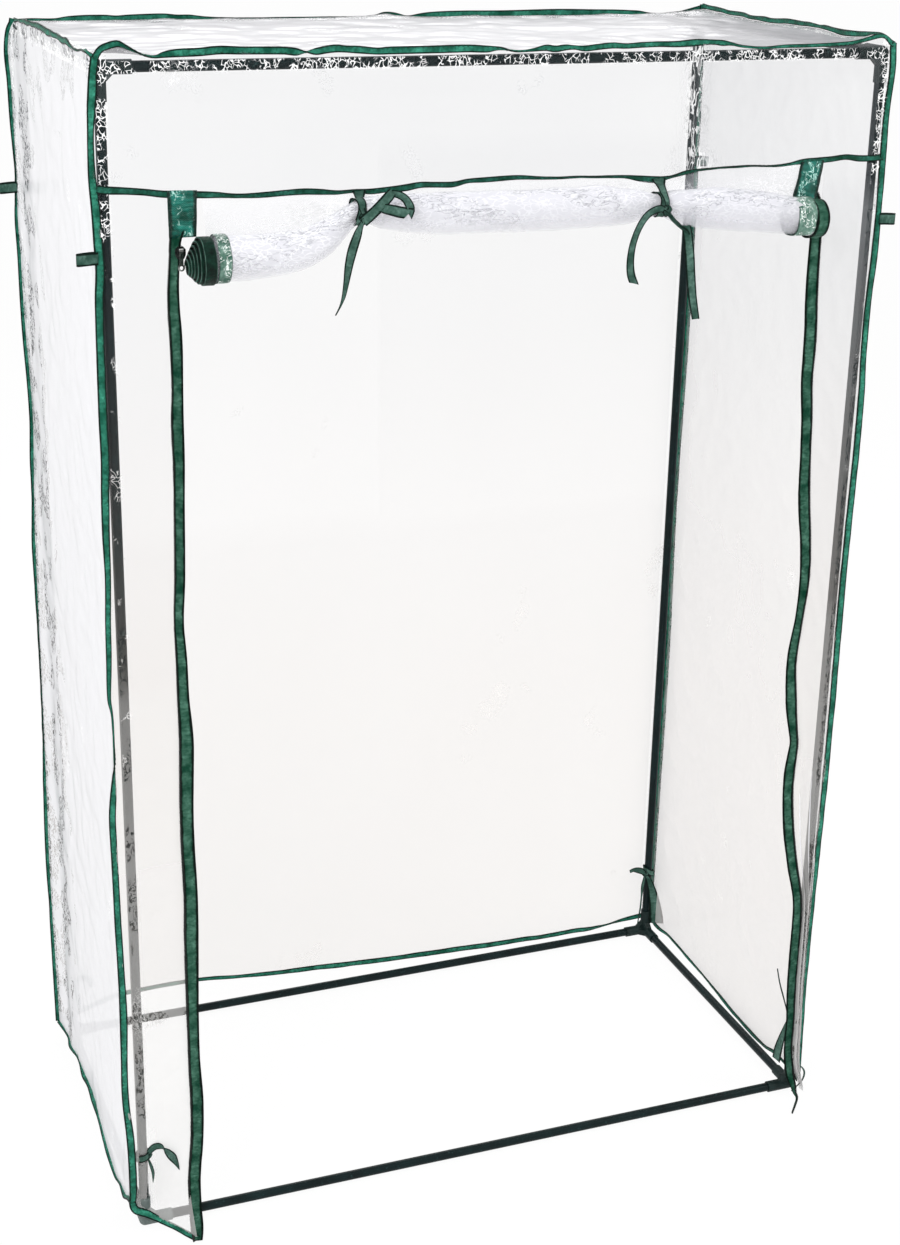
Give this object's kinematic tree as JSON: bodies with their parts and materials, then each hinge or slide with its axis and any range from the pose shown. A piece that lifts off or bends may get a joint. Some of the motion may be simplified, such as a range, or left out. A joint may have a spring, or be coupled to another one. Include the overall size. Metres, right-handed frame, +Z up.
{
  "type": "pop-up greenhouse",
  "caption": "Small walk-up garden greenhouse: push-fit tube frame under a clear film cover with green bindings, zips at both sides of a roll-up door.",
  "frame": {"origin": "middle of the overall plan outline, on the floor", "axes": "+Z up along the posts, the door faces -Y, +X to the right of someone who faces the door"},
  "size_m": [1.0356, 0.5692, 1.5038],
  "materials": {
    "steel_tube": "glossy powder coat",
    "connector_plastic": "satin",
    "clear_film": "clear, creased",
    "binding": "woven tape",
    "ribbon": "woven ribbon",
    "zip_tape": "woven tape with a dark coil",
    "zip_metal": "bright"
  },
  "bodies": {
    "frame_and_cover": {"corner_front_left_bottom": "connector_plastic", "corner_front_right_bottom": "connector_plastic", "corner_back_left_bottom": "connector_plastic", "corner_back_right_bottom": "connector_plastic", "corner_front_left_top": "connector_plastic", "corner_front_right_top": "connector_plastic", "corner_back_left_top": "connector_plastic", "corner_back_right_top": "connector_plastic", "post_lower_front_left": "steel_tube", "post_lower_front_right": "steel_tube", "post_lower_back_left": "steel_tube", "post_lower_back_right": "steel_tube", "post_upper_front_left": "steel_tube", "post_upper_front_right": "steel_tube", "post_upper_back_left": "steel_tube", "post_upper_back_right": "steel_tube", "rail_front_bottom": "steel_tube", "rail_back_bottom": "steel_tube", "rail_left_bottom": "steel_tube", "rail_right_bottom": "steel_tube", "rail_front_top": "steel_tube", "rail_back_top": "steel_tube", "rail_left_top": "steel_tube", "rail_right_top": "steel_tube", "panel_top": "clear_film", "panel_back": "clear_film", "panel_left": "clear_film", "panel_right": "clear_film", "panel_header": "clear_film", "strip_left": "clear_film", "strip_right": "clear_film", "top_binding_front": "binding", "top_binding_back": "binding", "top_binding_sides": "binding", "corner_bindings": "binding", "header_seam": "binding", "hem_back": "binding", "side_hems": "binding", "hem_strip_left": "binding", "zip_tape_left": "zip_tape", "zip_tape_right": "zip_tape", "zip_patch_left": "binding", "zip_patch_right": "binding", "roll_tie_left": "ribbon", "roll_tie_right": "ribbon", "bottom_tie_front_left": "ribbon", "bottom_tie_front_right": "ribbon", "bottom_tie_back_left": "ribbon", "bottom_tie_back_right": "ribbon", "guy_tabs": "ribbon"},
    "door": {"door_curtain": "clear_film", "door_roll": "clear_film", "door_edge_left": "zip_tape", "door_edge_right": "zip_tape", "roll_bands": "ribbon"},
    "left_slider": {"zip_slider_left": "zip_metal"},
    "left_pull": {"zip_pull_left": "zip_metal"},
    "right_slider": {"zip_slider_right": "zip_metal"},
    "right_pull": {"zip_pull_right": "zip_metal"}
  },
  "joints": [
    {"name": "door_unroll", "type": "slide", "parent": "frame_and_cover", "child": "door", "axis": [0, 0, -1], "range_m": [0, 1.252], "deforming": ["door_curtain"]},
    {"name": "left_zip", "type": "slide", "parent": "frame_and_cover", "child": "left_slider", "axis": [0, 0, -1], "range_m": [0, 1.263]},
    {"name": "left_pull_swing", "type": "hinge", "parent": "left_slider", "child": "left_pull", "pos_m": [-0.4038, -0.23292, 1.2907], "axis": [-1, 0, 0], "range_deg": [0, 170]},
    {"name": "right_zip", "type": "slide", "parent": "frame_and_cover", "child": "right_slider", "axis": [0.0507, 0, -0.9987], "range_m": [0, 1.265]},
    {"name": "right_pull_swing", "type": "hinge", "parent": "right_slider", "child": "right_pull", "pos_m": [0.40438, -0.23292, 1.29072], "axis": [-0.9987, 0, -0.0507], "range_deg": [0, 170]}
  ]
}
